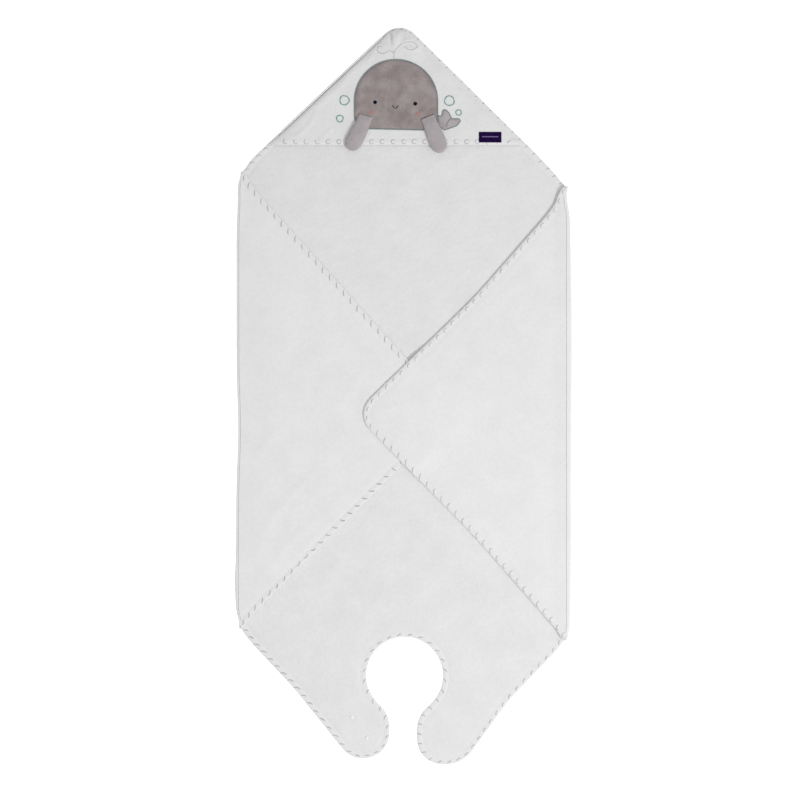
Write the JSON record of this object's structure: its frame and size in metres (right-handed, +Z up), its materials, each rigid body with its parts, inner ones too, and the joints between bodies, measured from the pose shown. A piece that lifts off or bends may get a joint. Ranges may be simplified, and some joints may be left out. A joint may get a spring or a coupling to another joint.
{
  "type": "hooded baby towel",
  "caption": "Apron-style hooded baby towel with an animal appliqué on the hood, side flaps that fold in, bound edges, and a neck cut-out with press-stud tabs.",
  "frame": {"origin": "middle of the folded towel's bounding box, on the surface it lies on", "axes": "+Y towards the hood's corner, +X to the right seen from above, +Z up out of the surface; the towel lies face up with its side corners folded in"},
  "size_m": [0.585, 1.2922, 0.0216],
  "materials": {
    "terry_outer": "matte",
    "terry_inner": "matte",
    "edge_tape": "matte",
    "whale_plush": "matte",
    "flipper_plush": "matte",
    "wadding": "matte",
    "teal_thread": "satin",
    "navy_thread": "satin",
    "coral_thread": "satin",
    "grey_thread": "satin",
    "label_weave": "satin",
    "snap_plastic": "satin"
  },
  "bodies": {
    "back": {"back_inner_layer": "terry_inner", "back_outer_layer": "terry_outer", "hood_tip": "terry_outer", "left_fold_binding": "edge_tape", "left_fold_inner_layer": "terry_inner", "left_fold_outer_layer": "terry_outer", "left_lower_binding": "edge_tape", "neck_binding": "edge_tape", "right_fold_binding": "edge_tape", "right_fold_inner_layer": "terry_inner", "right_fold_outer_layer": "terry_outer", "right_lower_binding": "edge_tape", "spout_stitches": "grey_thread", "top_edge_binding": "edge_tape"},
    "left_flap": {"left_flap_binding": "edge_tape", "left_flap_inner_layer": "terry_inner", "left_flap_outer_layer": "terry_outer", "left_flap_tip_binding": "edge_tape", "left_flap_tip_inner_layer": "terry_inner", "left_flap_tip_outer_layer": "terry_outer"},
    "right_flap": {"right_flap_binding": "edge_tape", "right_flap_inner_layer": "terry_inner", "right_flap_outer_layer": "terry_outer"},
    "left_tab": {"left_tab_binding": "edge_tape", "left_tab_inner_layer": "terry_inner", "left_tab_outer_layer": "terry_outer", "snap_studs": "snap_plastic", "stud_caps": "snap_plastic"},
    "right_tab": {"right_tab_binding": "edge_tape", "right_tab_inner_layer": "terry_inner", "right_tab_outer_layer": "terry_outer", "snap_sockets": "snap_plastic", "socket_caps": "snap_plastic"},
    "hood": {"hood_panel": "terry_outer", "hood_hem_binding": "edge_tape", "whale_face": "whale_plush", "face_outline_stitch": "teal_thread", "whale_tail": "whale_plush", "eye_stitches": "navy_thread", "cheek_stitches": "coral_thread", "mouth_stitch": "navy_thread", "bubble_stitches": "teal_thread", "woven_label": "label_weave"},
    "left_flipper": {"left_flipper_backing": "flipper_plush", "left_flipper_front": "flipper_plush", "left_flipper_wadding": "wadding"},
    "right_flipper": {"right_flipper_backing": "flipper_plush", "right_flipper_front": "flipper_plush", "right_flipper_wadding": "wadding"}
  },
  "joints": [
    {"name": "left_flap_fold", "type": "hinge", "parent": "back", "child": "left_flap", "pos_m": [-0.2883, 0, 0.0042], "axis": [0, -1, 0], "range_deg": [0, 180], "deforming": ["left_flap_tip_binding", "left_flap_tip_inner_layer", "left_flap_tip_outer_layer", "left_fold_binding", "left_fold_inner_layer", "left_fold_outer_layer"]},
    {"name": "right_flap_fold", "type": "hinge", "parent": "back", "child": "right_flap", "pos_m": [0.2861, 0, 0.0064], "axis": [0, 1, 0], "range_deg": [0, 180], "deforming": ["right_fold_binding", "right_fold_inner_layer", "right_fold_outer_layer"]},
    {"name": "left_tab_fold", "type": "hinge", "parent": "back", "child": "left_tab", "pos_m": [-0.064, -0.489, 0.0057], "axis": [-0.8571, -0.5151, 0], "range_deg": [0, 170]},
    {"name": "right_tab_fold", "type": "hinge", "parent": "back", "child": "right_tab", "pos_m": [0.07, -0.489, 0.0057], "axis": [-0.8571, 0.5151, 0], "range_deg": [0, 170]},
    {"name": "hood_lift", "type": "hinge", "parent": "back", "child": "hood", "pos_m": [-0.005, 0.592, 0.0116], "axis": [-1, 0, 0], "range_deg": [0, 30]},
    {"name": "left_flipper_swing", "type": "hinge", "parent": "hood", "child": "left_flipper", "pos_m": [-0.0644, 0.49, 0.0146], "axis": [-0.9135, 0.4068, 0], "range_deg": [0, 110]},
    {"name": "right_flipper_swing", "type": "hinge", "parent": "hood", "child": "right_flipper", "pos_m": [0.043, 0.4878, 0.0146], "axis": [-0.9287, -0.3709, 0], "range_deg": [0, 110]}
  ]
}
